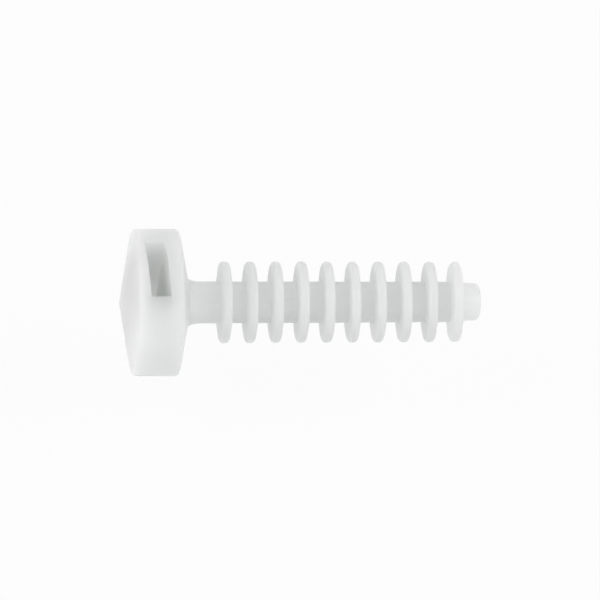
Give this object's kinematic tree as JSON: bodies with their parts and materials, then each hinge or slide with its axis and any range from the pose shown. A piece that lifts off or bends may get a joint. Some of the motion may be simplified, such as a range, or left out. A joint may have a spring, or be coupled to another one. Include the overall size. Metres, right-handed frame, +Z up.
{
  "type": "cable tie mount",
  "caption": "Push-in masonry plug with ribs along its shank and a round head that has a slot for a cable tie, moulded in one piece.",
  "frame": {"origin": "on the plug's axis, where the head's back face meets the shank", "axes": "+X along the plug's axis from the head to the nose, Z along the tie slot, +Z up as the part lies"},
  "size_m": [0.0422, 0.0172, 0.0172],
  "materials": {
    "nylon": "satin, slightly translucent natural nylon"
  },
  "bodies": {
    "root": {"tie_mount": "nylon"}
  },
  "joints": []
}
